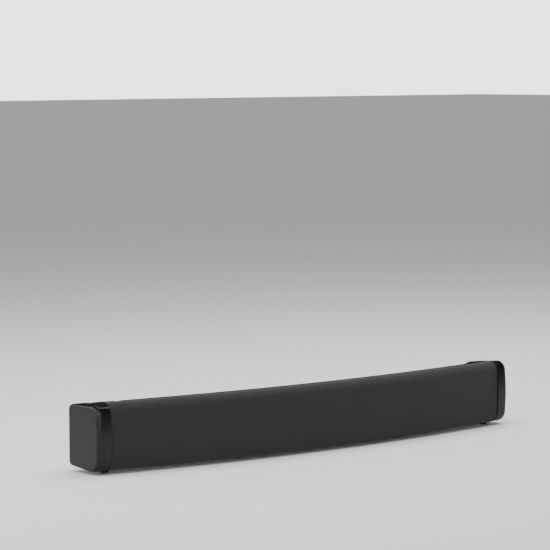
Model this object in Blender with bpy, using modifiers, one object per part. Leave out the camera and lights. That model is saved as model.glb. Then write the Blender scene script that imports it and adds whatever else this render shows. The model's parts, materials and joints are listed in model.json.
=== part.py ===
"""A soundbar with a bowed cloth front, glossy end caps and a straight back that hangs on a wall.

Frame: +X along the bar (to the right of someone facing its front), -Y out of the front, +Z up.
The origin is under the middle of the bar, on the surface that its feet stand on. Metres.
"""

import math

import bmesh
import bpy
from mathutils import Matrix, Vector

# Driving dimensions
LENGTH = 1.000
DEPTH_MIDDLE = 0.129
DEPTH_END = 0.0833
CLOTH_TOP = 0.1253
CLOTH_BOTTOM = 0.0063
CAP_PROUD = 0.0020
CAP_WIDTH = 0.0270
EDGE_ROUND = 0.0075
TOP_ROUND = 0.0120
EDGE_SMALL = 0.0015
GAP = 0.0003
SKIN_GAP = 0.0009

# The front follows one arc in plan, and the back is straight.
HALF = LENGTH / 2
BOW = DEPTH_MIDDLE - DEPTH_END
BOW_RADIUS = (HALF**2 + BOW**2) / (2 * BOW)
REAR_Y = DEPTH_MIDDLE / 2
CAP_X = HALF - CAP_WIDTH
MIDDLE_Z = (CLOTH_TOP + CLOTH_BOTTOM) / 2
STATIONS = 16

# Front skin
CLOTH = 0.0012
FRAME = 0.0025
HEM_DEPTH = 0.0260
FACE_LEAN = 0.0042
FACE_RADIUS = 0.450
TOP_RADIUS = 0.0180
BOTTOM_RADIUS = 0.0145
WINDOWS = 10
WINDOW_PITCH = 0.0925
WINDOW_SIZE = (0.0840, 0.0800)

# Rear housing and end caps
WALL = 0.0030
HOUSING_DROP = 0.0012
TOP_SLOPE = 0.200
REAR_BOTTOM = 0.0135
REAR_RADIUS = 0.0080
CAP_SLOPE = 0.053
CAP_TOP = 0.1267
CAP_BOTTOM = 0.0039
CAP_REAR_TOP = 0.1186
CAP_REAR_BOTTOM = 0.0118
CAP_FRONT_LOW_RADIUS = 0.0220
CAP_FACE_RADIUS = 0.3000
CAP_REAR_RADIUS = 0.0085
BACK_SIZE = (0.9100, 0.0720)
BACK_Z = 0.0580
STRIP_LENGTH = 0.0320
STRIP_DEPTH = 0.0285
STRIP_REAR_Y = REAR_Y - 0.0300
STRIP_RISE = 0.0032

# Baffle and what it carries
BAFFLE_DEPTH = 0.0160
BAFFLE_THICK = 0.0035
BAFFLE_RETURN = 0.0340
BAFFLE_LOW = 0.0150
BAFFLE_HIGH = 0.1165
DRIVER_X = (0.395, 0.295)
DRIVER_HOLE = 0.0348
TWEETER_X = 0.2250
TWEETER_HOLE = 0.0165
DIVIDER_X = 0.1850
PORT_X = 0.2350
PORT_Z = 0.0620
PORT_BORE = 0.0140
PORT_OUTER = 0.0160
PORT_LENGTH = 0.0520

# Connectors, on the back
PANEL_X = -0.0900
PANEL_Z = 0.0420
PANEL_SIZE = (0.1260, 0.0360)
PANEL_DEPTH = 0.0130
PANEL_WALL = 0.0020
SOCKET_DEPTH = 0.0120
SOCKETS = {
    "video_socket": (-0.0420, (0.0180, 0.0090), (0.0145, 0.0056)),
    "optical_socket": (-0.0120, (0.0110, 0.0110), (0.0062, 0.0062)),
    "data_socket": (0.0150, (0.0160, 0.0090), (0.0125, 0.0052)),
    "line_socket": (0.0420, (0.0110, 0.0110), (0.0048, 0.0048)),
}
INLET_X = 0.1000
INLET_Z = 0.0420
INLET_SIZE = (0.0260, 0.0180)
INLET_CAVITY = (0.0170, 0.0095)
INLET_DEPTH = 0.0200

# Hangers, feet and buttons
HANGER_X = 0.3300
HANGER_Z = 0.0720
HANGER_WINDOW = (0.0400, 0.0400)
HANGER_PLATE = (0.0394, 0.0020, 0.0394)
HANGER_HEAD = 0.0046
HANGER_SLOT = 0.0023
FOOT_RADIUS = 0.0070
FOOT_X = 0.4645
FOOT_DEPTH = 0.0340
CABLE_HOLE_Y = REAR_Y - 0.0400
CABLE_HOLE_RADIUS = 0.0080
BUTTON_Y = REAR_Y - 0.0400
BUTTON_Z = MIDDLE_Z
BUTTON_PITCH = 0.0165
BUTTON_RADIUS = 0.0042
BUTTONS = ("power_button", "source_button", "volume_up_button", "volume_down_button", "pairing_button")
POCKET_DEPTH = 0.0012
POCKET_WIDTH = 0.0150

# Electronics
BOARD = 0.0016
MAIN_BOARD_Z = 0.0320
SUPPLY_BOARD_Z = 0.0240

COLOURS = {
    "cloth": ((0.032, 0.031, 0.028), 0.95, 0.0),
    "gloss_black": ((0.012, 0.012, 0.012), 0.18, 0.0),
    "satin_black": ((0.035, 0.035, 0.036), 0.50, 0.0),
    "inner_plastic": ((0.045, 0.045, 0.045), 0.60, 0.0),
    "rubber": ((0.020, 0.020, 0.020), 0.85, 0.0),
    "paper": ((0.050, 0.048, 0.045), 0.90, 0.0),
    "steel": ((0.55, 0.55, 0.56), 0.35, 1.0),
    "ferrite": ((0.10, 0.10, 0.11), 0.60, 0.0),
    "aluminium": ((0.60, 0.60, 0.62), 0.40, 1.0),
    "circuit_board": ((0.020, 0.130, 0.050), 0.55, 0.0),
}


# ---------------------------------------------------------------- scene and materials


def clear_scene():
    for obj in list(bpy.data.objects):
        bpy.data.objects.remove(obj, do_unlink=True)


def collection(name):
    made = bpy.data.collections.new(name)
    bpy.context.scene.collection.children.link(made)
    return made


def material(name):
    found = bpy.data.materials.get(name)
    if found:
        return found
    colour, roughness, metallic = COLOURS[name]
    made = bpy.data.materials.new(name)
    made.use_nodes = True
    shader = made.node_tree.nodes["Principled BSDF"]
    shader.inputs["Base Color"].default_value = (*colour, 1.0)
    shader.inputs["Roughness"].default_value = roughness
    shader.inputs["Metallic"].default_value = metallic
    made.diffuse_color = (*colour, 1.0)
    return made


def add_mesh(name, mesh, finish):
    """A mesh becomes a part with a finish, or a cutter when it has none."""
    obj = bpy.data.objects.new(name, mesh)
    if finish is None:
        CUTTERS.objects.link(obj)
        obj.hide_render = True
        obj.display_type = "WIRE"
    else:
        PARTS.objects.link(obj)
        mesh.materials.append(material(finish))
    return obj


def add_bmesh(name, form, finish):
    mesh = bpy.data.meshes.new(name)
    form.to_mesh(mesh)
    form.free()
    return add_mesh(name, mesh, finish)


def smooth(obj, degrees=35):
    obj.data.shade_smooth()
    obj.data.set_sharp_from_angle(angle=math.radians(degrees))


# ---------------------------------------------------------------- plane outlines


def corner_arc(before, corner, after, radius, steps):
    """The points of a round of this radius between two straight runs."""
    to_before = (before - corner).normalized()
    to_after = (after - corner).normalized()
    half_angle = to_before.angle(to_after) / 2
    reach = radius / math.tan(half_angle)
    centre = corner + (to_before + to_after).normalized() * (radius / math.sin(half_angle))
    first = corner + to_before * reach - centre
    turn = math.pi - 2 * half_angle
    side = 1 if to_before.x * to_after.y - to_before.y * to_after.x < 0 else -1
    points = []
    for step in range(steps + 1):
        angle = side * turn * step / steps
        turned_x = first.x * math.cos(angle) - first.y * math.sin(angle)
        turned_y = first.x * math.sin(angle) + first.y * math.cos(angle)
        points.append(centre + Vector((turned_x, turned_y)))
    return points


def rounded(corners, closed):
    """An outline from (u, v, radius, steps) corners. A radius of 0 keeps the corner sharp."""
    places = [Vector(corner[:2]) for corner in corners]
    points = []
    for index, (_, _, radius, steps) in enumerate(corners):
        at_end = not closed and index in (0, len(corners) - 1)
        if radius == 0 or at_end:
            points.append(places[index])
            continue
        before = places[index - 1]
        after = places[(index + 1) % len(places)]
        points.extend(corner_arc(before, places[index], after, radius, steps))
    return points


def moved_out(points, distance, closed):
    """The outline moved outwards, to the left of its own direction, with mitred corners."""
    moved = []
    count = len(points)
    for index, point in enumerate(points):
        edges = []
        if closed or index > 0:
            edges.append(point - points[index - 1])
        if closed or index < count - 1:
            edges.append(points[(index + 1) % count] - point)
        normals = [Vector((-edge.y, edge.x)).normalized() for edge in edges]
        middle = sum(normals, Vector((0, 0))).normalized()
        moved.append(point + middle * (distance / middle.dot(normals[0])))
    return moved


# ---------------------------------------------------------------- the bowed sections


def front_y(x):
    """Where the cloth's foremost line lies at this place along the bar."""
    return REAR_Y - DEPTH_MIDDLE + BOW_RADIUS - math.sqrt(BOW_RADIUS**2 - x**2)


def bow_angle(x):
    return math.asin(x / BOW_RADIUS)


def bow_stations(low, high, count=STATIONS):
    return [low + (high - low) * index / count for index in range(count + 1)]


def face_corners():
    """The bottom, middle and top corners of the front face, as (depth behind the front, height)."""
    half_height = (CLOTH_TOP - CLOTH_BOTTOM) / 2
    half_turn = math.atan(FACE_LEAN / half_height)
    ahead = FACE_RADIUS * (1 / math.cos(half_turn) - 1)
    return [
        (FACE_LEAN - ahead, CLOTH_BOTTOM, BOTTOM_RADIUS, 4),
        (-ahead, MIDDLE_Z, FACE_RADIUS, 4),
        (FACE_LEAN - ahead, CLOTH_TOP, TOP_RADIUS, 5),
    ]


def placed(corners, x):
    """Corners given as depths behind the front, turned into (y, z) at this place along the bar."""
    front = front_y(x)
    return [(front + depth, z, radius, steps) for depth, z, radius, steps in corners]


def skin_section(x, inset):
    """Half-round front skin: from its rear hem underneath, round the front, to its rear hem on top."""
    hems = (HEM_DEPTH, CLOTH_BOTTOM, 0, 0), (HEM_DEPTH, CLOTH_TOP, 0, 0)
    corners = placed([hems[0], *face_corners(), hems[1]], x)
    return moved_out(rounded(corners, closed=False), -inset, closed=False)


def housing_section(x):
    start = front_y(x) + HEM_DEPTH + 2 * GAP
    corners = [
        (start, panel_height(x, start), 0, 0),
        (REAR_Y, panel_height(x, REAR_Y), REAR_RADIUS, 3),
        (REAR_Y, REAR_BOTTOM, REAR_RADIUS, 3),
        (start, floor_height(x, start), 0, 0),
    ]
    return rounded(corners, closed=False)


def panel_height(x, y):
    """The height of the top panel, which falls away from the cloth at one slope."""
    start = front_y(x) + HEM_DEPTH + 2 * GAP
    return CLOTH_TOP - HOUSING_DROP - TOP_SLOPE * (y - start)


def floor_height(x, y):
    """The height of the housing's sloping underside."""
    start = front_y(x) + HEM_DEPTH + 2 * GAP
    bottom = CLOTH_BOTTOM + HOUSING_DROP / 2
    return bottom + (REAR_BOTTOM - bottom) * (y - start) / (REAR_Y - start)


def baffle_section(x):
    corners = [
        (BAFFLE_RETURN, BAFFLE_LOW, 0, 0),
        (BAFFLE_DEPTH, BAFFLE_LOW, 0.0050, 2),
        (BAFFLE_DEPTH, BAFFLE_HIGH, 0.0050, 2),
        (BAFFLE_RETURN, BAFFLE_HIGH, 0, 0),
    ]
    return rounded(placed(corners, x), closed=False)


def edge_inset(x, radius):
    """How far a round of this radius, on the outer edge, has turned in at this place along the bar."""
    past = max(0.0, abs(x) - (HALF - radius))
    return radius - math.sqrt(max(0.0, radius**2 - past**2))


def cap_section(x):
    """The end caps' outline. Its front and top edges are well rounded, the others only just."""
    broad = edge_inset(x, EDGE_ROUND)
    lower = broad * TOP_ROUND / EDGE_ROUND
    small = edge_inset(x, EDGE_SMALL)
    (low_depth, _, _, _), (middle_depth, _, _, _), (high_depth, _, high_radius, _) = face_corners()
    inwards = broad - CAP_PROUD
    front = [
        (low_depth + inwards, CAP_BOTTOM + small, CAP_FRONT_LOW_RADIUS, 5),
        (middle_depth + inwards, MIDDLE_Z, CAP_FACE_RADIUS, 4),
        (high_depth + inwards, CAP_TOP - lower, high_radius, 5),
    ]
    rear = REAR_Y - small
    back = [
        (rear, CAP_REAR_TOP - small, CAP_REAR_RADIUS, 4),
        (rear, CAP_REAR_BOTTOM + small, CAP_REAR_RADIUS, 4),
    ]
    ahead = front_y(CAP_X) + CAP_SLOPE * (abs(x) - CAP_X)
    return rounded([(ahead + depth, *rest) for depth, *rest in front] + back, closed=True)


# ---------------------------------------------------------------- shapes


def loft(name, stations, sections, finish, closed=False, first_face=False, last_face=False):
    """A skin through one section of (y, z) points at each station along X."""
    form = bmesh.new()
    rings = []
    for x, section in zip(stations, sections):
        rings.append([form.verts.new((x, point.x, point.y)) for point in section])
    count = len(rings[0])
    for near, far in zip(rings, rings[1:]):
        for index in range(count if closed else count - 1):
            after = (index + 1) % count
            form.faces.new((near[index], far[index], far[after], near[after]))
    if first_face:
        form.faces.new(rings[0])
    if last_face:
        form.faces.new(list(reversed(rings[-1])))
    return add_bmesh(name, form, finish)


def thicken(obj, thickness):
    """Walls grow inwards from a skin whose faces point out."""
    wall = obj.modifiers.new("wall", "SOLIDIFY")
    wall.thickness = thickness
    wall.offset = -1
    wall.use_even_offset = True
    return obj


def add_box(form, size, place):
    """Adds a box to the form, turned and placed by a matrix or moved by a vector."""
    where = place if isinstance(place, Matrix) else Matrix.Translation(place)
    bmesh.ops.create_cube(form, size=1.0, matrix=where @ Matrix.Diagonal((*size, 1.0)))


def add_rod(form, radius, length, place, sides=24):
    """Adds a cylinder along the place's own Z."""
    bmesh.ops.create_cone(
        form, cap_ends=True, segments=sides, radius1=radius, radius2=radius, depth=length, matrix=place
    )


def along_y(x, y, z):
    return Matrix.Translation((x, y, z)) @ Matrix.Rotation(math.radians(90), 4, "X")


def along_x(x, y, z):
    return Matrix.Translation((x, y, z)) @ Matrix.Rotation(math.radians(90), 4, "Y")


def box(name, size, centre, finish, bevel=0.0):
    form = bmesh.new()
    bmesh.ops.create_cube(form, size=1.0, matrix=Matrix.Diagonal((*size, 1.0)))
    obj = add_bmesh(name, form, finish)
    obj.location = centre
    if bevel:
        edge = obj.modifiers.new("edges", "BEVEL")
        edge.width = bevel
        edge.segments = 2
    return obj


def turned(name, profile, finish, closed, sides):
    """A profile of (radius, height) points turned about Z. It runs down its outer side."""
    mesh = bpy.data.meshes.new(name)
    count = len(profile)
    edges = [(index, index + 1) for index in range(count - 1)]
    if closed:
        edges.append((count - 1, 0))
    mesh.from_pydata([(radius, 0, height) for radius, height in profile], edges, [])
    obj = add_mesh(name, mesh, finish)
    screw = obj.modifiers.new("turn", "SCREW")
    screw.steps = sides
    screw.render_steps = sides
    screw.use_merge_vertices = True
    screw.merge_threshold = 0.00001
    screw.use_smooth_shade = True
    return obj


def cut(obj, cutter):
    """Takes the cutter's shape out of the part."""
    hole = obj.modifiers.new("cut " + cutter.name, "BOOLEAN")
    hole.operation = "DIFFERENCE"
    hole.object = cutter


def empty(name, place, rotation):
    obj = bpy.data.objects.new(name, None)
    PARTS.objects.link(obj)
    obj.location = place
    obj.rotation_euler = rotation
    obj.empty_display_size = 0.02
    return obj


# ---------------------------------------------------------------- front skin and baffle


def make_cloth():
    stations = bow_stations(SKIN_GAP - CAP_X, CAP_X - SKIN_GAP)
    cloth = loft("grille_cloth", stations, [skin_section(x, 0) for x in stations], "cloth")
    smooth(thicken(cloth, CLOTH))


def make_grille_frame():
    """The moulded frame that the cloth is stretched over, with a row of windows."""
    stations = bow_stations(SKIN_GAP - CAP_X, CAP_X - SKIN_GAP)
    sections = [skin_section(x, CLOTH + GAP) for x in stations]
    frame = thicken(loft("grille_frame", stations, sections, "inner_plastic"), FRAME)
    windows = bmesh.new()
    width, height = WINDOW_SIZE
    for index in range(WINDOWS):
        x = (index - (WINDOWS - 1) / 2) * WINDOW_PITCH
        add_box(windows, (width, 0.030, height), Vector((x, front_y(x) + 0.005, MIDDLE_Z)))
    cut(frame, add_bmesh("frame_windows", windows, None))


def make_baffle():
    """The bowed board that carries the drivers. Its top and bottom edges turn back into the housing."""
    stations = bow_stations(SKIN_GAP - CAP_X, CAP_X - SKIN_GAP)
    baffle = loft("front_baffle", stations, [baffle_section(x) for x in stations], "inner_plastic")
    thicken(baffle, BAFFLE_THICK)
    holes = bmesh.new()
    for side in (-1, 1):
        for x in DRIVER_X:
            add_rod(holes, DRIVER_HOLE, 0.020, driver_place(side * x))
        add_rod(holes, TWEETER_HOLE, 0.020, driver_place(side * TWEETER_X))
    cut(baffle, add_bmesh("driver_holes", holes, None))


def driver_place(x):
    """A frame on the baffle's front face whose own Z points out of the bowed front."""
    place = Matrix.Translation((x, front_y(x) + BAFFLE_DEPTH, MIDDLE_Z))
    return place @ Matrix.Rotation(bow_angle(x), 4, "Z") @ Matrix.Rotation(math.radians(90), 4, "X")


# ---------------------------------------------------------------- drivers


DRIVER_RIM = 0.0400
ROLL_MIDDLE = 0.0318
ROLL_RADIUS = 0.0026
SURROUND_SKIN = 0.0005


def basket_profile():
    outside = [(DRIVER_RIM, 0.0030), (DRIVER_RIM, GAP), (0.0340, GAP), (0.0340, -0.0040)]
    back = [(0.0190, -0.0260), (0.0190, -0.0300), (0.0088, -0.0300), (0.0088, -0.0280)]
    inside = [(0.0165, -0.0280), (0.0168, -0.0255), (0.0318, -0.0035), (0.0350, 0.0030)]
    return outside + back + inside


def magnet_profile():
    pole = [(0.0, -0.0292), (0.0061, -0.0292), (0.0061, -0.0440)]
    ring = [(0.0088, -0.0440), (0.0088, -0.0303), (0.0225, -0.0303), (0.0225, -0.0490)]
    return pole + ring + [(0.0, -0.0490)]


def cone_profile():
    """Dust cap, cone and voice coil former, as one moving piece."""
    front = [(0.0, -0.0066), (0.0050, -0.0076), (0.0092, -0.0105), (0.0285, 0.0018)]
    back = [(0.0286, 0.0008), (0.0098, -0.0122), (0.0079, -0.0135), (0.0079, -0.0395)]
    return front + back + [(0.0072, -0.0395), (0.0072, -0.0115), (0.0, -0.0080)]


def surround_profile():
    """A half roll of rubber between the cone's edge and the basket's rim."""
    landing = 0.0033
    steps = 4
    outside = [(0.0385, landing + SURROUND_SKIN), (0.0385, landing)]
    roll = []
    for radius in (ROLL_RADIUS - SURROUND_SKIN, ROLL_RADIUS):
        arc = []
        for step in range(steps + 1):
            angle = math.pi * step / steps
            arc.append((ROLL_MIDDLE + radius * math.cos(angle), landing + radius * math.sin(angle)))
        roll.append(arc)
    under, over = roll
    return outside + under + list(reversed(over))


def make_driver(name, x):
    mount = empty(name + "_mount", (0, 0, 0), (0, 0, 0))
    mount.matrix_world = driver_place(x)
    basket = turned(name + "_basket", basket_profile(), "steel", True, 16)
    spokes = bmesh.new()
    for turn in (0, 90):
        add_box(spokes, (0.090, 0.022, 0.013), Matrix.Translation((0, 0, -0.0155)) @ quarter_turn(turn))
    windows = add_bmesh(name + "_basket_windows", spokes, None)
    cut(basket, windows)
    magnet = turned(name + "_magnet", magnet_profile(), "ferrite", False, 16)
    cone = turned(name + "_cone", cone_profile(), "paper", False, 16)
    surround = turned(name + "_surround", surround_profile(), "rubber", True, 16)
    for piece in (basket, windows, magnet, cone, surround):
        piece.parent = mount


def quarter_turn(degrees):
    return Matrix.Rotation(math.radians(degrees), 4, "Z")


def tweeter_plate_profile():
    outside = [(0.0220, 0.0025), (0.0220, GAP), (0.0160, GAP), (0.0160, -0.0030)]
    return outside + [(0.0135, -0.0030), (0.0135, 0.0010), (0.0150, 0.0025)]


def tweeter_dome_profile():
    dome = [(0.0, 0.0050), (0.0050, 0.0042), (0.0095, 0.0018), (0.0128, -0.0008)]
    coil = [(0.0128, -0.0014), (0.0105, -0.0014), (0.0105, -0.0080), (0.0099, -0.0080)]
    return dome + coil + [(0.0099, -0.0002), (0.0048, 0.0034), (0.0, 0.0042)]


def tweeter_magnet_profile():
    pole = [(0.0, -0.0040), (0.0090, -0.0040), (0.0090, -0.0120)]
    ring = [(0.0115, -0.0120), (0.0115, -0.0034), (0.0158, -0.0034), (0.0158, -0.0200)]
    return pole + ring + [(0.0, -0.0200)]


def make_tweeter(name, x):
    mount = empty(name + "_mount", (0, 0, 0), (0, 0, 0))
    mount.matrix_world = driver_place(x)
    turned(name + "_plate", tweeter_plate_profile(), "satin_black", True, 16).parent = mount
    turned(name + "_dome", tweeter_dome_profile(), "cloth", False, 16).parent = mount
    turned(name + "_magnet", tweeter_magnet_profile(), "ferrite", False, 16).parent = mount


# ---------------------------------------------------------------- housing and end caps


def make_housing():
    """Top, underside and the frame of the back in one shell. The end caps and the back panel close it."""
    stations = bow_stations(SKIN_GAP - CAP_X, CAP_X - SKIN_GAP)
    housing = loft("rear_housing", stations, [housing_section(x) for x in stations], "satin_black")
    thicken(housing, WALL)
    width, height = BACK_SIZE
    window = bmesh.new()
    size = (width + 2 * GAP, 3 * WALL, height + 2 * GAP)
    add_box(window, size, Vector((0, REAR_Y - WALL / 2, BACK_Z)))
    cut(housing, add_bmesh("back_window", window, None))


def make_back_panel():
    """The flat panel in the housing's back, with an opening for each fitting behind it."""
    width, height = BACK_SIZE
    middle_y = REAR_Y - WALL / 2
    panel = box("back_panel", (width, WALL, height), (0, middle_y, BACK_Z), "satin_black")
    openings = bmesh.new()
    through = 3 * WALL
    fittings = ((PANEL_X, PANEL_Z, PANEL_SIZE), (INLET_X, INLET_Z, INLET_SIZE))
    for x, z, (wide, high) in fittings:
        add_box(openings, (wide + 2 * GAP, through, high + 2 * GAP), Vector((x, middle_y, z)))
    for side in (-1, 1):
        add_rod(openings, PORT_OUTER + GAP, through, along_y(side * PORT_X, middle_y, PORT_Z))
        wide, high = HANGER_WINDOW
        add_box(openings, (wide, through, high), Vector((side * HANGER_X, middle_y, HANGER_Z)))
    cut(panel, add_bmesh("back_openings", openings, None))


def cap_stations():
    """Places along the bar from the cap's inner wall to its flat side face."""
    steps = 4
    stations = [CAP_X]
    for step in range(steps):
        stations.append(HALF - EDGE_ROUND + EDGE_ROUND * math.sin(math.radians(90) * step / steps))
    stations.append(HALF - EDGE_SMALL / 4)
    return stations + [HALF]


def make_cap(name, side):
    stations = cap_stations()
    if side < 0:
        stations = [-x for x in reversed(stations)]
    sections = [cap_section(x) for x in stations]
    cap = loft(name, stations, sections, "gloss_black", closed=True, first_face=True, last_face=True)
    smooth(thicken(cap, WALL))
    hole = bmesh.new()
    add_rod(hole, CABLE_HOLE_RADIUS, 3 * WALL, along_x(side * CAP_X, CABLE_HOLE_Y, MIDDLE_Z))
    cut(cap, add_bmesh(name + "_cable_hole", hole, None))
    return cap


def make_caps():
    make_cap("left_end_cap", -1)
    right = make_cap("right_end_cap", 1)
    half_width = POCKET_WIDTH / 2
    half_height = BUTTON_PITCH * (len(BUTTONS) - 1) / 2 + half_width
    corners = []
    for y_sign, z_sign in ((-1, -1), (-1, 1), (1, 1), (1, -1)):
        y = BUTTON_Y + y_sign * half_width
        corners.append((y, BUTTON_Z + z_sign * half_height, POCKET_WIDTH * 0.48, 5))
    outline = rounded(corners, closed=True)
    depths = (HALF - POCKET_DEPTH, HALF + POCKET_DEPTH)
    ends = {"closed": True, "first_face": True, "last_face": True}
    pocket = loft("button_pocket", depths, (outline, outline), None, **ends)
    cut(right, pocket)
    holes = bmesh.new()
    for z in button_heights():
        add_rod(holes, BUTTON_RADIUS + GAP, 4 * WALL, along_x(HALF, BUTTON_Y, z))
    cut(right, add_bmesh("button_holes", holes, None))


def make_strip(name, side):
    """A raised trim strip on the sloping top, against the end cap."""
    ends = sorted((side * (CAP_X - GAP), side * (CAP_X - STRIP_LENGTH)))
    sections = []
    for x in ends:
        front = STRIP_REAR_Y - STRIP_DEPTH
        low = panel_height(x, STRIP_REAR_Y) + SKIN_GAP
        corners = [
            (front, panel_height(x, front) + SKIN_GAP, 0, 0),
            (front, panel_height(x, front) + SKIN_GAP + STRIP_RISE / 2, 0.0008, 2),
            (STRIP_REAR_Y, low + STRIP_RISE, 0.0010, 2),
            (STRIP_REAR_Y, low, 0, 0),
        ]
        sections.append(rounded(corners, closed=True))
    loft(name, ends, sections, "satin_black", closed=True, first_face=True, last_face=True)


def make_feet():
    for side, side_name in ((-1, "left"), (1, "right")):
        x = side * FOOT_X
        for y, end_name in ((front_y(x) + FOOT_DEPTH, "front"), (REAR_Y - 0.0220, "rear")):
            make_foot(f"{side_name}_{end_name}_foot", x, y)


def make_foot(name, x, y):
    """A short rubber disc. Its top follows the sloping underside."""
    form = bmesh.new()
    add_rod(form, FOOT_RADIUS, 0.002, Matrix.Translation((x, y, 0.001)))
    for vertex in form.verts:
        if vertex.co.z > 0.001:
            vertex.co.z = floor_height(vertex.co.x, vertex.co.y) - GAP
    add_bmesh(name, form, "rubber")


# ---------------------------------------------------------------- back fittings


def socket_block(name, width, height, depth, cavity, centre, finish):
    """A block with a pocket in its outer face. The centre is that of the outer face."""
    block = box(name, (width, depth, height), centre + Vector((0, -depth / 2, 0)), finish)
    pocket = bmesh.new()
    add_box(pocket, (cavity[0], 2 * (depth - 0.0015), cavity[1]), centre)
    cut(block, add_bmesh(name + "_pocket", pocket, None))


def make_connector_panel():
    """A shallow tray, open to the back, with a window for each socket."""
    width, height = PANEL_SIZE
    outside = Vector((PANEL_X, REAR_Y - GAP, PANEL_Z))
    middle = outside - Vector((0, PANEL_DEPTH / 2, 0))
    tray = box("connector_panel", (width, PANEL_DEPTH, height), middle, "inner_plastic")
    room = bmesh.new()
    add_box(room, (width - 2 * PANEL_WALL, 2 * (PANEL_DEPTH - PANEL_WALL), height - 2 * PANEL_WALL), outside)
    cut(tray, add_bmesh("connector_room", room, None))
    windows = bmesh.new()
    floor_y = REAR_Y - GAP - PANEL_DEPTH
    for offset, size, cavity in SOCKETS.values():
        centre = Vector((PANEL_X + offset, floor_y, PANEL_Z))
        add_box(windows, (size[0] + 2 * GAP, 4 * PANEL_WALL, size[1] + 2 * GAP), centre)
    cut(tray, add_bmesh("socket_windows", windows, None))
    for name, (offset, size, cavity) in SOCKETS.items():
        face = Vector((PANEL_X + offset, floor_y + PANEL_WALL + 0.0005, PANEL_Z))
        finish = "steel" if name in ("video_socket", "data_socket") else "inner_plastic"
        socket_block(name, size[0], size[1], SOCKET_DEPTH, cavity, face, finish)


def make_inlet():
    width, height = INLET_SIZE
    face = Vector((INLET_X, REAR_Y - GAP, INLET_Z))
    socket_block("power_inlet", width, height, INLET_DEPTH, INLET_CAVITY, face, "inner_plastic")


def make_port(name, x):
    """A reflex tube whose mouth is flush with the back."""
    outer = REAR_Y - 0.0005
    flange_y = REAR_Y - WALL - GAP
    flange = outer - flange_y
    profile = [
        (PORT_OUTER, 0.0),
        (PORT_OUTER, -flange),
        (PORT_OUTER + 0.0045, -flange),
        (PORT_OUTER + 0.0045, -flange - 0.0020),
        (PORT_BORE + 0.0015, -flange - 0.0020),
        (PORT_BORE + 0.0015, -PORT_LENGTH),
        (PORT_BORE, -PORT_LENGTH),
        (PORT_BORE, -0.0040),
        (PORT_BORE + 0.0012, 0.0),
    ]
    port = turned(name, profile, "inner_plastic", True, 24)
    port.location = (x, outer, PORT_Z)
    port.rotation_euler = (math.radians(-90), 0, 0)


def make_hanger(name, x):
    """A steel plate flush in a window of the back, with a keyhole slot for a wall screw."""
    width, thick, height = HANGER_PLATE
    plate_y = REAR_Y - GAP - thick / 2
    plate = box(name, (width, thick, height), (x, plate_y, HANGER_Z), "steel")
    keyhole = bmesh.new()
    add_rod(keyhole, HANGER_HEAD, 0.010, along_y(x, plate_y, HANGER_Z - 0.0080))
    cut(plate, add_bmesh(name + "_head_hole", keyhole, None))
    slot = bmesh.new()
    add_box(slot, (2 * HANGER_SLOT, 0.010, 0.0160), Vector((x, plate_y, HANGER_Z)))
    cut(plate, add_bmesh(name + "_slot", slot, None))


# ---------------------------------------------------------------- buttons


def button_heights():
    middle = (len(BUTTONS) - 1) / 2
    return [BUTTON_Z + (middle - index) * BUTTON_PITCH for index in range(len(BUTTONS))]


def button_profile():
    """Head, retaining flange and stem. Height 0 is the plane of the side face."""
    head = [(0.0, -0.0002), (0.0030, -0.0004), (BUTTON_RADIUS, -0.0010)]
    flange_top = -WALL - GAP
    flange = [(BUTTON_RADIUS, flange_top), (0.0056, flange_top), (0.0056, flange_top - 0.0010)]
    stem_end = flange_top - 0.0040
    return head + flange + [(0.0015, flange_top - 0.0010), (0.0015, stem_end), (0.0, stem_end)]


def make_buttons():
    for name, z in zip(BUTTONS, button_heights()):
        button = turned(name, button_profile(), "satin_black", False, 20)
        button.location = (HALF, BUTTON_Y, z)
        button.rotation_euler = (0, math.radians(90), 0)
    x = HALF - WALL - GAP - 0.0040 - 0.0012 - BOARD / 2
    size = (BOARD, 0.0140, BUTTON_PITCH * len(BUTTONS))
    box("button_board", size, (x, BUTTON_Y, BUTTON_Z), "circuit_board")


# ---------------------------------------------------------------- inside


def make_divider(name, x):
    """A wall across the housing between a speaker chamber and the electronics."""
    thick = 0.0030
    clear = WALL + 0.0006
    stations = (x - thick / 2, x + thick / 2)
    sections = []
    for station in stations:
        front = front_y(station) + BAFFLE_RETURN + 0.0006
        rear = REAR_Y - clear - REAR_RADIUS
        corners = [
            (front, floor_height(station, front) + clear, 0, 0),
            (front, panel_height(station, front) - clear, 0, 0),
            (rear, panel_height(station, rear) - clear, 0, 0),
            (REAR_Y - clear, panel_height(station, REAR_Y) - REAR_RADIUS - clear, 0, 0),
            (REAR_Y - clear, REAR_BOTTOM + REAR_RADIUS + clear, 0, 0),
            (rear, floor_height(station, rear) + clear, 0, 0),
        ]
        sections.append(rounded(corners, closed=True))
    loft(name, stations, sections, "inner_plastic", closed=True, first_face=True, last_face=True)


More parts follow.
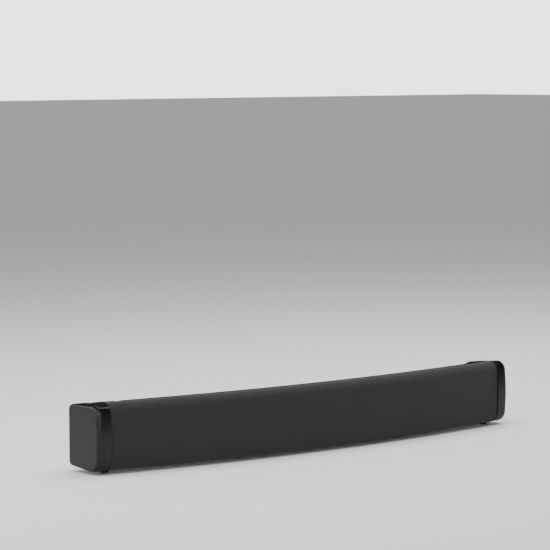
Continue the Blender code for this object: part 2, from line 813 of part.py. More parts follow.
def make_electronics():
    board_z = MAIN_BOARD_Z
    board_front = REAR_Y - 0.0850
    board_rear = REAR_Y - PANEL_DEPTH - SOCKET_DEPTH - 0.0005
    board_depth = board_rear - board_front
    board_y = (board_front + board_rear) / 2
    box("main_board", (0.1400, board_depth, BOARD), (PANEL_X, board_y, board_z), "circuit_board")
    make_heat_sink(PANEL_X - 0.0300, board_y, board_z + BOARD / 2 + GAP)
    module_z = board_z + BOARD / 2 + GAP + 0.00125
    box("wireless_module", (0.0240, 0.0160, 0.0025), (PANEL_X + 0.0400, board_y, module_z), "circuit_board")
    supply_y = REAR_Y - 0.0560
    supply_z = SUPPLY_BOARD_Z
    box("power_supply_board", (0.1300, 0.0600, BOARD), (0.0850, supply_y, supply_z), "circuit_board")
    wound_z = supply_z + BOARD / 2 + GAP + 0.0130
    box("transformer", (0.0320, 0.0280, 0.0260), (0.0600, supply_y, wound_z), "ferrite", bevel=0.0020)
    can = [(0.0, 0.0300), (0.0080, 0.0300), (0.0090, 0.0290), (0.0090, 0.0), (0.0, 0.0)]
    capacitor = turned("filter_capacitor", can, "aluminium", False, 20)
    capacitor.location = (0.1250, REAR_Y - 0.0600, supply_z + BOARD / 2 + GAP)


def make_heat_sink(x, y, z):
    """A comb of fins standing on a base."""
    base = box("heat_sink", (0.0500, 0.0300, 0.0260), (x, y, z + 0.0130), "aluminium")
    slots = bmesh.new()
    fins = 6
    pitch = 0.0500 / fins
    for index in range(fins - 1):
        offset = (index - (fins - 2) / 2) * pitch
        add_box(slots, (pitch - 0.0020, 0.0400, 0.0300), Vector((x + offset, y, z + 0.0040 + 0.0150)))
    cut(base, add_bmesh("heat_sink_slots", slots, None))


def make_status_board():
    """Infrared receiver and status light, between the baffle and the grille frame."""
    front = front_y(0) + BAFFLE_DEPTH
    box("infrared_board", (0.0400, BOARD, 0.0200), (0, front - GAP - BOARD / 2, MIDDLE_Z), "circuit_board")


# ---------------------------------------------------------------- assembly


clear_scene()
PARTS = collection("soundbar")
CUTTERS = collection("cutters")

make_cloth()
make_grille_frame()
make_baffle()
for side, side_name in ((-1, "left"), (1, "right")):
    make_driver(side_name + "_outer_driver", side * DRIVER_X[0])
    make_driver(side_name + "_inner_driver", side * DRIVER_X[1])
    make_tweeter(side_name + "_tweeter", side * TWEETER_X)
    make_port(side_name + "_port_tube", side * PORT_X)
    make_divider(side_name + "_divider", side * DIVIDER_X)
    make_hanger(side_name + "_hanger_plate", side * HANGER_X)
    make_strip(side_name + "_top_strip", side)
make_housing()
make_back_panel()
make_caps()
make_feet()
make_connector_panel()
make_inlet()
make_buttons()
make_electronics()
make_status_board()
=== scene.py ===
"""Looks of a soundbar with a bowed cloth front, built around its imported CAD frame.

Same frame as the part: +X along the bar, -Y out of its front, +Z up, metres.
"""

import json
import math

import bmesh
import bpy
from mathutils import Matrix, Vector


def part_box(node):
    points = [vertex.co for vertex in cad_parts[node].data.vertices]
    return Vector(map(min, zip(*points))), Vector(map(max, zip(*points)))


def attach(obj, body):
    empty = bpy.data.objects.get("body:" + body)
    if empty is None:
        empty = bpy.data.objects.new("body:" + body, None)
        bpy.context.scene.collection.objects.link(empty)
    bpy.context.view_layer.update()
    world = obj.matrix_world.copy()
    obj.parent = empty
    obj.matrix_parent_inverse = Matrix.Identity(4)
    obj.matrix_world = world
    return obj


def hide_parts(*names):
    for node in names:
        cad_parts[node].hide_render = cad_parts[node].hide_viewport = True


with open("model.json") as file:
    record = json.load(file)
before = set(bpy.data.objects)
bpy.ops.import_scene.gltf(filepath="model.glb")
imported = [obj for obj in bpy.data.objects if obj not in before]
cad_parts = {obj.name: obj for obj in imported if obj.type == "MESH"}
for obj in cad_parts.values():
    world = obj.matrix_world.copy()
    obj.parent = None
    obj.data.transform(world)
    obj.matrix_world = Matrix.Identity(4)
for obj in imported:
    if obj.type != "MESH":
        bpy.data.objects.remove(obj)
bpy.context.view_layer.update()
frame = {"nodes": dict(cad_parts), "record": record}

NODES = frame["nodes"]
BODIES = frame["record"]["behaviour"]["bodies"]
BODY_OF = {node: body for body, nodes in BODIES.items() for node in nodes}


# ---------------------------------------------------------------- sizes, from the frame


def end_front(node):
    """The foremost place of a node's last section along the bar."""
    points = [vertex.co for vertex in NODES[node].data.vertices]
    end = max(point.x for point in points)
    return min(point.y for point in points if point.x > end - 0.0001)


def middle(node):
    low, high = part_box(node)
    return (low + high) / 2


def size(node):
    low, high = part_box(node)
    return high - low


CLOTH_LOW, CLOTH_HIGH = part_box("grille_cloth")
CAP_LOW, CAP_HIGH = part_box("right_end_cap")
PANEL_LOW, PANEL_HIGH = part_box("back_panel")
HALF = CAP_HIGH.x
CAP_X = CAP_LOW.x
REAR_Y = CAP_HIGH.y
MIDDLE_Z = (CLOTH_LOW.z + CLOTH_HIGH.z) / 2
BOW = end_front("grille_cloth") - CLOTH_LOW.y
BOW_RADIUS = (CLOTH_HIGH.x**2 + BOW**2) / (2 * BOW)

# Front skin
CLOTH_THICK = 0.0010
CLOTH_CREEP = 0.0005
HEM_DEPTH = 0.0260
HEM_RADIUS = 0.0012
HEM_TURN = 0.0030
FACE_LEAN = 0.0042
FACE_RADIUS = 0.450
TOP_RADIUS = 0.0180
BOTTOM_RADIUS = 0.0145

# Housing and end caps
SEAM = 0.0006
WALL = 0.0030
PANEL_DROP = 0.0012
PANEL_LIP = 0.0011
LIP_ROUND = 0.0004
TOP_SLOPE = 0.200
SHELL_TOP_DEPTH = 0.0120
REAR_BOTTOM = CLOTH_LOW.z + 0.0072
REAR_RADIUS = 0.0080
CAP_PROUD = 0.0020
CAP_SLOPE = 0.053
CAP_TOP = CLOTH_HIGH.z + 0.0014
CAP_BOTTOM = CLOTH_LOW.z - 0.0024
CAP_REAR_TOP = CLOTH_HIGH.z - 0.0067
CAP_REAR_BOTTOM = CLOTH_LOW.z + 0.0055
CAP_LOW_RADIUS = 0.0220
CAP_FACE_RADIUS = 0.3000
CAP_REAR_RADIUS = 0.0085
EDGE_BROAD = 0.0075
EDGE_OVERRUN = 1.08
TOP_BROAD = 0.0120
EDGE_SMALL = 0.0015
INNER_EDGE = 0.0007
MATT_FROM = 0.72
STATIONS = 96

# Buttons
BUTTONS = ("power_button", "source_button", "volume_up_button", "volume_down_button", "pairing_button")
POCKET_DEPTH = 0.0012
POCKET_WIDTH = 0.0150
HOLE_DEPTH = 0.0085
HOLE_SHARE = 0.78
HOLE_GAP = 0.0003
BUTTON_SHARE = 0.75
SYMBOL_LINE = 0.00045

# Back and underside
SCREW_INSET = 0.0060
SCREW_HEAD = 0.0028
SCREW_SINK = 0.0014
BACK_SCREW_X = (-0.440, -0.290, -0.175, 0.010, 0.175, 0.290, 0.440)
UNDER_SCREW_X = (0.150, 0.330, 0.440)
UNDER_SCREW_INSET = 0.016
VENT_GROUPS = ((-0.090, 18), (0.095, 12))
VENT_PITCH = 0.0060
VENT_SIZE = (0.0026, 0.0180)
VENT_Z = 0.0770
CUT_DEPTH = 0.008
PORT_HOLE_RADIUS = 0.0164
SOCKET_DEPTH = 0.0110
LINE_SOCKET_RADIUS = 0.0018
INLET_DEPTH = 0.0195
INLET_PIN_X = 0.0040

# Trim strips, above the slope of the top panel
STRIP_GAP = 0.0002
STRIP_FRONT = 0.0025
STRIP_REAR = 0.0041

# Angles from which an edge is drawn sharp
SHARP_ANGLE = math.radians(35)
CLOTH_SHARP_ANGLE = math.radians(50)
NODE_SHARP_ANGLE = math.radians(32)

# Studio: ramps are (from, from, to, to)
FLOOR_SIZE = 40
BRIGHT_SIDE = (-0.655, 0.755, 0.0)
SIDE_RAMP = (-1.0, -0.40, 0.03, 1.0)
HEIGHT_RAMP = (0.22, 0.50, 3.0, 0.15)
LIGHT_TARGET = (0.0, 0.0, 0.05)
CAMERA_PLACE = Vector((-3.1522, -3.6270, 0.70995))
CAMERA_YAW = math.radians(40.27)
CAMERA_PITCH = math.radians(4.62)
CAMERA_ROLL = math.radians(0.22)
CAMERA_LENS = 170.6
CAMERA_SENSOR = 36


# ---------------------------------------------------------------- node materials


class Paint:
    """One procedural material: a Principled shader and short ways to drive its inputs."""

    def __init__(self, name, colour, roughness, metallic=0.0, specular=0.5):
        self.material = bpy.data.materials.new(name)
        self.material.use_nodes = True
        self.tree = self.material.node_tree
        self.shader = self.tree.nodes["Principled BSDF"]
        self.set("Base Color", (*colour, 1.0))
        self.set("Roughness", roughness)
        self.set("Metallic", metallic)
        self.set("Specular IOR Level", specular)
        self.material.diffuse_color = (*colour, 1.0)

    def set(self, socket, value):
        self.shader.inputs[socket].default_value = value

    def node(self, kind, inputs=(), **settings):
        made = self.tree.nodes.new(kind)
        for key, value in settings.items():
            setattr(made, key, value)
        for socket, value in dict(inputs).items():
            if isinstance(value, bpy.types.NodeSocket):
                self.tree.links.new(value, made.inputs[socket])
            else:
                made.inputs[socket].default_value = value
        return made

    def place(self, stretch=(1, 1, 1), source="Object"):
        """Coordinates in metres, stretched along an axis to draw a grain."""
        coordinates = self.node("ShaderNodeTexCoord").outputs[source]
        scaled = self.node("ShaderNodeMapping", {"Vector": coordinates, "Scale": stretch})
        return scaled.outputs["Vector"]

    def noise(self, pitch, detail=3.0, rough=0.55, place=None):
        """Noise from 0 to 1 whose blobs are about this many metres apart."""
        vector = place or self.place()
        made = self.node(
            "ShaderNodeTexNoise",
            {"Vector": vector, "Scale": 1 / pitch, "Detail": detail, "Roughness": rough},
        )
        return made.outputs["Fac"]

    def cells(self, pitch, feature="F1"):
        inputs = {"Vector": self.place(), "Scale": 1 / pitch}
        return self.node("ShaderNodeTexVoronoi", inputs, feature=feature).outputs["Distance"]

    def math(self, operation, first, second=0.0):
        return self.node("ShaderNodeMath", {0: first, 1: second}, operation=operation).outputs[0]

    def spread(self, value, low, high, start=0.3, end=0.7):
        """Stretches a value from start..end to low..high."""
        inputs = {"Value": value, "From Min": start, "From Max": end, "To Min": low, "To Max": high}
        return self.node("ShaderNodeMapRange", inputs).outputs["Result"]

    def tint(self, factor, dark, light):
        mix = self.tree.nodes.new("ShaderNodeMix")
        mix.data_type = "RGBA"
        self.tree.links.new(factor, mix.inputs["Factor"])
        colours = [socket for socket in mix.inputs if socket.type == "RGBA"]
        for socket, colour in zip(colours, (dark, light)):
            socket.default_value = (*colour, 1.0)
        return [socket for socket in mix.outputs if socket.type == "RGBA"][0]

    def drive(self, socket, value):
        self.tree.links.new(value, self.shader.inputs[socket])

    def colour_by(self, value, dark, light, start=0.3, end=0.7):
        """Colours the surface from dark to light as the value goes from start to end."""
        factor = self.spread(value, 0.0, 1.0, start, end)
        self.drive("Base Color", self.tint(factor, dark, light))

    def bump(self, height, distance, strength):
        """Heights from 0 to 1 become a relief this many metres deep."""
        inputs = {"Height": height, "Distance": distance, "Strength": strength}
        self.drive("Normal", self.node("ShaderNodeBump", inputs).outputs["Normal"])


def paint_cloth():
    """Plain-woven acoustic cloth: fine threads over and under, slightly uneven, with a soft sheen."""
    paint = Paint("acoustic_cloth", (0.030, 0.029, 0.027), 0.92, specular=0.25)
    paint.set("Sheen Weight", 0.06)
    paint.set("Sheen Roughness", 0.45)
    thread = 0.0009
    place = paint.place(source="UV")
    axes = paint.node("ShaderNodeSeparateXYZ", {"Vector": place})
    waves = []
    for axis in ("X", "Y"):
        turns = paint.math("MULTIPLY", axes.outputs[axis], math.pi / thread)
        waves.append(paint.math("SINE", turns))
    crossing = paint.math("MULTIPLY", waves[0], waves[1])
    over = paint.math("ABSOLUTE", crossing)
    uneven = paint.noise(0.0060, detail=4.0, rough=0.6, place=paint.place((1, 12, 1), "UV"))
    slub = paint.noise(0.0080, detail=4.0, rough=0.6, place=paint.place((14, 1, 1), "UV"))
    streaks = paint.math("ADD", uneven, slub)
    fibre = paint.noise(0.0003, detail=2.0, place=place)
    patch = paint.noise(0.12, detail=2.0, place=place)
    height = paint.math("ADD", over, paint.math("MULTIPLY", fibre, 0.35))
    shade = paint.math("ADD", paint.math("MULTIPLY", over, 0.55), paint.math("MULTIPLY", streaks, 0.45))
    shade = paint.math("ADD", shade, paint.math("MULTIPLY", patch, 0.12))
    paint.colour_by(shade, (0.0102, 0.0098, 0.0087), (0.0345, 0.0333, 0.0304), 0.20, 1.15)
    paint.drive("Roughness", paint.spread(fibre, 0.85, 0.97))
    paint.bump(height, 0.00018, 0.6)
    return paint.material


def paint_gloss():
    """Glossy moulded plastic with a faint ripple, uneven polish and fine dust."""
    paint = Paint("gloss_black", (0.0035, 0.0035, 0.0037), 0.17, specular=0.29)
    smears = paint.noise(0.030, detail=5.0, rough=0.65, place=paint.place((1, 1, 3)))
    paint.drive("Roughness", paint.spread(smears, 0.17, 0.24))
    dust = paint.noise(0.0007, detail=1.0)
    paint.colour_by(dust, (0.0035, 0.0035, 0.0037), (0.0110, 0.0108, 0.0104), 0.72, 0.80)
    paint.bump(paint.noise(0.0045, detail=1.0), 0.00002, 0.5)
    return paint.material


def paint_matt():
    """Dead matt black skin of the top, with a very fine grain."""
    paint = Paint("matt_black", (0.006, 0.006, 0.006), 0.90, specular=0.02)
    grain = paint.noise(0.0008, detail=3.0)
    wear = paint.noise(0.040, detail=4.0, rough=0.6)
    paint.colour_by(wear, (0.005, 0.005, 0.005), (0.009, 0.009, 0.009))
    paint.drive("Roughness", paint.spread(grain, 0.84, 0.96))
    paint.bump(grain, 0.00003, 0.5)
    return paint.material


def paint_moulded(name, colour, light, pitch, depth, roughness):
    """Moulded plastic with a spark-eroded grain of this pitch and depth."""
    paint = Paint(name, colour, roughness, specular=0.45)
    grain = paint.cells(pitch)
    fine = paint.noise(pitch * 0.6, detail=3.0)
    wear = paint.noise(0.035, detail=4.0, rough=0.6)
    height = paint.math("ADD", grain, paint.math("MULTIPLY", fine, 0.6))
    paint.colour_by(wear, colour, light)
    paint.drive("Roughness", paint.spread(fine, roughness - 0.06, roughness + 0.08))
    paint.bump(height, depth, 0.7)
    return paint.material


def paint_rubber():
    paint = Paint("rubber", (0.018, 0.018, 0.018), 0.80, specular=0.3)
    dusty = paint.noise(0.0040, detail=5.0, rough=0.7)
    paint.colour_by(dusty, (0.012, 0.012, 0.012), (0.034, 0.033, 0.031))
    paint.drive("Roughness", paint.spread(dusty, 0.72, 0.90))
    paint.bump(paint.noise(0.0006, detail=2.0), 0.00004, 0.6)
    return paint.material


def paint_paper():
    """Pressed pulp of a speaker cone, with flecks of fibre."""
    paint = Paint("cone_paper", (0.040, 0.038, 0.035), 0.88, specular=0.2)
    pulp = paint.noise(0.0012, detail=6.0, rough=0.75)
    fibres = paint.noise(0.0016, detail=4.0, place=paint.place((1, 6, 1)))
    paint.colour_by(pulp, (0.022, 0.021, 0.020), (0.070, 0.066, 0.058))
    paint.bump(paint.math("ADD", pulp, fibres), 0.00012, 0.7)
    return paint.material


def paint_dome():
    """Coated silk of a tweeter dome."""
    paint = Paint("dome_fabric", (0.020, 0.018, 0.022), 0.55, specular=0.4)
    paint.set("Sheen Weight", 0.3)
    threads = paint.math("MULTIPLY", paint.cells(0.0004), paint.noise(0.0010))
    paint.colour_by(threads, (0.014, 0.013, 0.016), (0.040, 0.036, 0.044), 0.0, 0.5)
    paint.bump(threads, 0.00006, 0.6)
    return paint.material


def paint_metal(name, dark, light, roughness, stretch):
    """Metal with a grain drawn along one axis."""
    paint = Paint(name, light, roughness, metallic=1.0)
    grain = paint.noise(0.0006, detail=4.0, rough=0.6, place=paint.place(stretch))
    cloudy = paint.noise(0.012, detail=3.0)
    paint.colour_by(cloudy, dark, light)
    paint.drive("Roughness", paint.spread(grain, roughness - 0.08, roughness + 0.12))
    paint.bump(grain, 0.00002, 0.5)
    return paint.material


def paint_ferrite():
    paint = Paint("ferrite", (0.060, 0.060, 0.064), 0.55, specular=0.5)
    grain = paint.noise(0.0008, detail=5.0, rough=0.7)
    paint.colour_by(grain, (0.035, 0.035, 0.038), (0.095, 0.094, 0.098))
    paint.bump(grain, 0.00005, 0.6)
    return paint.material


def paint_board():
    """Green solder mask with copper tracks under it."""
    paint = Paint("circuit_board", (0.012, 0.085, 0.030), 0.38, specular=0.5)
    tracks = paint.cells(0.0060, feature="DISTANCE_TO_EDGE")
    line = paint.spread(tracks, 1.0, 0.0, 0.03, 0.07)
    paint.drive("Base Color", paint.tint(line, (0.010, 0.070, 0.026), (0.030, 0.150, 0.060)))
    paint.drive("Roughness", paint.spread(paint.noise(0.004), 0.30, 0.46))
    paint.bump(line, 0.00004, 0.5)
    return paint.material


def paint_floor():
    paint = Paint("studio_floor", (0.80, 0.80, 0.80), 0.9, specular=0.1)
    patch = paint.noise(0.6, detail=2.0)
    paint.drive("Base Color", paint.tint(patch, (0.79, 0.79, 0.79), (0.82, 0.82, 0.82)))
    return paint.material


CLOTH = paint_cloth()
GLOSS = paint_gloss()
MATT = paint_matt()
SATIN = paint_moulded(
    "satin_black", (0.0140, 0.0140, 0.0145), (0.0210, 0.0210, 0.0215), 0.0009, 0.00006, 0.52
)
INNER = paint_moulded(
    "inner_plastic", (0.0200, 0.0200, 0.0205), (0.0300, 0.0300, 0.0300), 0.0014, 0.00008, 0.60
)
RUBBER = paint_rubber()
PAPER = paint_paper()
DOME = paint_dome()
STEEL = paint_metal("steel", (0.42, 0.42, 0.43), (0.62, 0.62, 0.63), 0.34, (1, 1, 14))
ZINC = paint_metal("zinc_screws", (0.050, 0.050, 0.053), (0.10, 0.10, 0.105), 0.36, (1, 1, 1))
NICKEL = paint_metal("nickel_contacts", (0.50, 0.48, 0.44), (0.72, 0.70, 0.65), 0.22, (1, 8, 1))
FERRITE = paint_ferrite()
ALUMINIUM = paint_metal("aluminium", (0.48, 0.48, 0.50), (0.66, 0.66, 0.68), 0.38, (10, 1, 1))
BOARD = paint_board()
SYMBOL = paint_moulded(
    "button_symbols", (0.22, 0.22, 0.22), (0.30, 0.30, 0.30), 0.0006, 0.00002, 0.50
)


# ---------------------------------------------------------------- outlines


def corner_arc(before, corner, after, radius, steps):
    """The points of a round of this radius between two straight runs."""
    to_before = (before - corner).normalized()
    to_after = (after - corner).normalized()
    half_angle = to_before.angle(to_after) / 2
    reach = radius / math.tan(half_angle)
    centre = corner + (to_before + to_after).normalized() * (radius / math.sin(half_angle))
    first = corner + to_before * reach - centre
    turn = math.pi - 2 * half_angle
    side = 1 if to_before.x * to_after.y - to_before.y * to_after.x < 0 else -1
    points = []
    for step in range(steps + 1):
        angle = side * turn * step / steps
        points.append(centre + Matrix.Rotation(angle, 2) @ first)
    return points


def rounded(corners, closed=True):
    """An outline from (u, v, radius, steps) corners. A radius of 0 keeps the corner sharp."""
    places = [Vector(corner[:2]) for corner in corners]
    points = []
    for index, (_, _, radius, steps) in enumerate(corners):
        at_end = not closed and index in (0, len(corners) - 1)
        if radius == 0 or at_end:
            points.append(places[index])
            continue
        before = places[index - 1]
        after = places[(index + 1) % len(places)]
        points.extend(corner_arc(before, places[index], after, radius, steps))
    return points


def rounded_rectangle(width, height, radius, steps=6):
    """An outline about the origin, corner after corner."""
    signs = ((-1, -1), (1, -1), (1, 1), (-1, 1))
    return rounded([(u * width / 2, v * height / 2, radius, steps) for u, v in signs])


def front_y(x):
    """Where the cloth's foremost line lies at this place along the bar."""
    return CLOTH_LOW.y + BOW_RADIUS - math.sqrt(BOW_RADIUS**2 - x**2)


def spaced(low, high, count):
    return [low + (high - low) * index / count for index in range(count + 1)]


def face_corners():
    """The bottom, middle and top corners of the front face, as (depth behind the front, height)."""
    half_height = (CLOTH_HIGH.z - CLOTH_LOW.z) / 2
    ahead = FACE_RADIUS * (1 / math.cos(math.atan(FACE_LEAN / half_height)) - 1)
    return [
        (FACE_LEAN - ahead, CLOTH_LOW.z, BOTTOM_RADIUS, 12),
        (-ahead, MIDDLE_Z, FACE_RADIUS, 16),
        (FACE_LEAN - ahead, CLOTH_HIGH.z, TOP_RADIUS, 14),
    ]


def placed(corners, x):
    """Corners given as depths behind the front, turned into (y, z) at this place along the bar."""
    front = front_y(x)
    return [(front + depth, z, radius, steps) for depth, z, radius, steps in corners]


def panel_start(x):
    return front_y(x) + HEM_DEPTH + SEAM


def panel_height(x, y):
    """The height of the top panel, which falls away from the cloth at one slope."""
    return CLOTH_HIGH.z - PANEL_DROP - TOP_SLOPE * (y - panel_start(x))


def floor_height(x, y):
    """The height of the sloping underside."""
    start = panel_start(x)
    low = CLOTH_LOW.z + PANEL_DROP / 2
    return low + (REAR_BOTTOM - low) * (y - start) / (REAR_Y - start)


# ---------------------------------------------------------------- shapes


def finish(name, form, paint):
    """Turns a bmesh into a smooth-shaded piece with this material."""
    bmesh.ops.recalc_face_normals(form, faces=form.faces)
    mesh = bpy.data.meshes.new(name)
    form.to_mesh(mesh)
    form.free()
    mesh.materials.append(paint)
    mesh.shade_smooth()
    mesh.set_sharp_from_angle(angle=SHARP_ANGLE)
    piece = bpy.data.objects.new(name, mesh)
    bpy.context.scene.collection.objects.link(piece)
    return piece


def loft(name, rings, paint, closed=True, ends=True):
    """A skin through rings of points, with its own length and girth in metres as UVs."""
    form = bmesh.new()
    uv = form.loops.layers.uv.new("girth")
    count = len(rings[0])
    last = count if closed else count - 1
    verts = [[form.verts.new(point) for point in ring] for ring in rings]
    girth = [0.0]
    for index in range(last):
        girth.append(girth[-1] + (rings[0][(index + 1) % count] - rings[0][index]).length)
    along = [0.0]
    for near, far in zip(rings, rings[1:]):
        along.append(along[-1] + (far[count // 2] - near[count // 2]).length)
    for station in range(len(rings) - 1):
        for index in range(last):
            after = (index + 1) % count
            near, far = verts[station], verts[station + 1]
            face = form.faces.new((near[index], far[index], far[after], near[after]))
            places = (
                (station, index),
                (station + 1, index),
                (station + 1, index + 1),
                (station, index + 1),
            )
            for corner, (column, row) in zip(face.loops, places):
                corner[uv].uv = (along[column], girth[row])
    if ends:
        form.faces.new(verts[0])
        form.faces.new(list(reversed(verts[-1])))
    return finish(name, form, paint)


def section_ring(x, outline):
    return [Vector((x, point.x, point.y)) for point in outline]


def turned(name, profile, paint, place, steps=48):
    """A profile of (radius, height) points turned about the place's own Z."""
    form = bmesh.new()
    rings = []
    for radius, height in profile:
        ring = []
        for step in range(1 if radius == 0 else steps):
            angle = 2 * math.pi * step / steps
            ring.append(form.verts.new((radius * math.cos(angle), radius * math.sin(angle), height)))
        rings.append(ring)
    for near, far in zip(rings, rings[1:]):
        for step in range(steps):
            after = (step + 1) % steps
            corners = [near[step % len(near)], near[after % len(near)]]
            corners += [far[after % len(far)], far[step % len(far)]]
            unique = list(dict.fromkeys(corners))
            if len(unique) > 2:
                form.faces.new(unique)
    piece = finish(name, form, paint)
    piece.matrix_world = place
    return piece


def extruded(name, outlines, heights, paint, place):
    """A solid through flat outlines at these heights along the place's own Z."""
    rings = []
    for outline, height in zip(outlines, heights):
        rings.append([Vector((point.x, point.y, height)) for point in outline])
    piece = loft(name, rings, paint)
    piece.matrix_world = place
    return piece


def pad(name, width, depth, thick, radius, edge, paint, place):
    """A flat block with rounded corners and a small chamfer all round both faces."""
    full = rounded_rectangle(width, depth, radius)
    small = rounded_rectangle(width - 2 * edge, depth - 2 * edge, max(radius - edge, edge / 4))
    outlines = (small, full, full, small)
    return extruded(name, outlines, (0, edge, thick - edge, thick), paint, place)


def out_of_back(x, y, z):
    """A place whose own Z points out of the back and whose own X points along the bar."""
    turn = Matrix(((1, 0, 0), (0, 0, 1), (0, -1, 0))).to_4x4()
    return Matrix.Translation((x, y, z)) @ turn


def out_of_side(x, y, z):
    """A place whose own Z points out of the right end and whose own Y points up."""
    turn = Matrix(((0, 0, 1), (1, 0, 0), (0, 1, 0))).to_4x4()
    return Matrix.Translation((x, y, z)) @ turn


def cut(piece, cutters):
    """Takes the cutters' shapes out of the piece for good."""
    for cutter in cutters:
        hole = piece.modifiers.new("cut", "BOOLEAN")
        hole.operation = "DIFFERENCE"
        hole.object = cutter
        hole.solver = "EXACT"
    bake(piece)
    for cutter in cutters:
        bpy.data.objects.remove(cutter)
    piece.data.shade_smooth()
    piece.data.set_sharp_from_angle(angle=SHARP_ANGLE)
    return piece


def bake(piece):
    """Replaces a piece's mesh with what its modifiers make of it."""
    bpy.context.view_layer.update()
    graph = bpy.context.evaluated_depsgraph_get()
    made = bpy.data.meshes.new_from_object(piece.evaluated_get(graph))
    piece.modifiers.clear()
    piece.data = made


def joined(name, pieces):
    """Several pieces of one finish become one mesh."""
    form = bmesh.new()
    for piece in pieces:
        bpy.context.view_layer.update()
        piece.data.transform(piece.matrix_world)
        form.from_mesh(piece.data)
    paint = pieces[0].data.materials[0]
    for piece in pieces:
        bpy.data.objects.remove(piece)
    return finish(name, form, paint)


def stand_for(piece, slot, *nodes):
    """The piece rides with the body of these CAD nodes and hides them."""
    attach(piece, BODY_OF[nodes[0]])
    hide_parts(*nodes)


def go_with(piece, node):
    """An extra piece rides with the body of this CAD node, which it doesn't replace."""
    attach(piece, BODY_OF[node])


# ---------------------------------------------------------------- front


def cloth_section(x):
    corners = [
        (HEM_DEPTH, CLOTH_LOW.z + HEM_TURN, 0, 0),
        (HEM_DEPTH, CLOTH_LOW.z, HEM_RADIUS, 5),
        *face_corners(),
        (HEM_DEPTH, CLOTH_HIGH.z, HEM_RADIUS, 5),
        (HEM_DEPTH, CLOTH_HIGH.z - HEM_TURN, 0, 0),
    ]
    return rounded(placed(corners, x), closed=False)


def make_cloth():
    """The cloth in one sheet, pulled over the bowed frame and turned in at its hems."""
    end = CLOTH_HIGH.x + CLOTH_CREEP
    rings = [section_ring(x, cloth_section(x)) for x in spaced(-end, end, STATIONS)]
    cloth = loft("front_cloth", rings, CLOTH, closed=False, ends=False)
    wall = cloth.modifiers.new("cloth", "SOLIDIFY")
    wall.thickness = CLOTH_THICK
    wall.offset = -1
    bake(cloth)
    cloth.data.shade_smooth()
    cloth.data.set_sharp_from_angle(angle=CLOTH_SHARP_ANGLE)
    stand_for(cloth, "acoustic_cloth", "grille_cloth")


# ---------------------------------------------------------------- end caps


def small_inset(x):
    """How far a small round at the side face draws the outline in at this place."""
    past = max(0.0, x - (HALF - EDGE_SMALL))
    return EDGE_SMALL - math.sqrt(max(0.0, EDGE_SMALL**2 - past**2))


def cap_outline(x, broad, small):
    """A cap's outline, drawn in by one inset at its front and top and another at its rear and bottom."""
    (low_depth, _, _, _), (middle_depth, _, _, _), (high_depth, _, high_radius, _) = face_corners()
    inwards = front_y(CAP_X) + CAP_SLOPE * (x - CAP_X) + broad - CAP_PROUD
    lower = broad * TOP_BROAD / EDGE_BROAD
    front = [
        (inwards + low_depth, CAP_BOTTOM + small, CAP_LOW_RADIUS, 14),
        (inwards + middle_depth, MIDDLE_Z, CAP_FACE_RADIUS, 12),
        (inwards + high_depth, CAP_TOP - lower, high_radius, 14),
    ]
    rear = REAR_Y - small
    back = [
        (rear, CAP_REAR_TOP - small, CAP_REAR_RADIUS, 8),
        (rear, CAP_REAR_BOTTOM + small, CAP_REAR_RADIUS, 8),
    ]
    return rounded(front + back)


def cap_rings():
    """Rings from the inner edge, over the broad edge, to the flat side face."""
    inner = 3 * INNER_EDGE
    profile = rounded(
        [
            (CAP_X, inner, 0, 0),
            (CAP_X, 0, INNER_EDGE, 4),
            (HALF, 0, EDGE_BROAD, 16),
            (HALF, EDGE_OVERRUN * EDGE_BROAD, 0, 0),
        ],
        closed=False,
    )
    rings = []
    for x, inset in profile:
        in_front = x < CAP_X + INNER_EDGE
        past_edge = max(0.0, inset - EDGE_BROAD)
        small = inset if in_front else small_inset(x) + past_edge
        rings.append(section_ring(x, cap_outline(x, inset, small)))
    return rings


def mirrored(rings):
    return [[Vector((-point.x, point.y, point.z)) for point in ring] for ring in rings]


def make_caps():
    rings = cap_rings()
    left = loft("left_cap", mirrored(rings), GLOSS)
    right = loft("right_cap", rings, GLOSS)
    cut(right, [pocket_cutter()] + button_cutters())
    for cap in (left, right):
        paint_top(cap)
    stand_for(left, "gloss_black", "left_end_cap")
    stand_for(right, "gloss_black", "right_end_cap")


def paint_top(cap):
    """The faces that look up take the matt finish of the top."""
    cap.data.materials.append(MATT)
    for face in cap.data.polygons:
        if face.normal.z > MATT_FROM:
            face.material_index = 1


def pocket_cutter():
    """The shape of the long recess round the buttons, with an eased mouth."""
    heights = [middle(name).z for name in BUTTONS]
    length = max(heights) - min(heights) + POCKET_WIDTH
    centre = middle(BUTTONS[0])
    outlines = []
    for grow in (0.0, 0.0, 0.0004, 0.0012):
        width = POCKET_WIDTH + 2 * grow
        outlines.append(rounded_rectangle(width, length + 2 * grow, width * 0.49, 10))
    place = out_of_side(HALF, centre.y, (max(heights) + min(heights)) / 2)
    levels = (-POCKET_DEPTH, -0.0004, 0.0, 0.0008)
    return extruded("button_pocket", outlines, levels, GLOSS, place)


def button_cutters():
    cutters = []
    for name in BUTTONS:
        centre = middle(name)
        radius = size(name).z / 2 * HOLE_SHARE + HOLE_GAP
        profile = [(0, -HOLE_DEPTH), (radius, -HOLE_DEPTH), (radius, 0.001), (0, 0.001)]
        place = out_of_side(HALF, centre.y, centre.z)
        cutters.append(turned(name + "_hole", profile, GLOSS, place))
    return cutters


# ---------------------------------------------------------------- buttons


def symbol_bar(width, height, centre=(0, 0), turn=0.0):
    """A flat bar of a raised symbol, as an outline about its centre."""
    outline = rounded_rectangle(width, height, min(width, height) * 0.45, 3)
    return [Matrix.Rotation(turn, 2) @ point + Vector(centre) for point in outline]


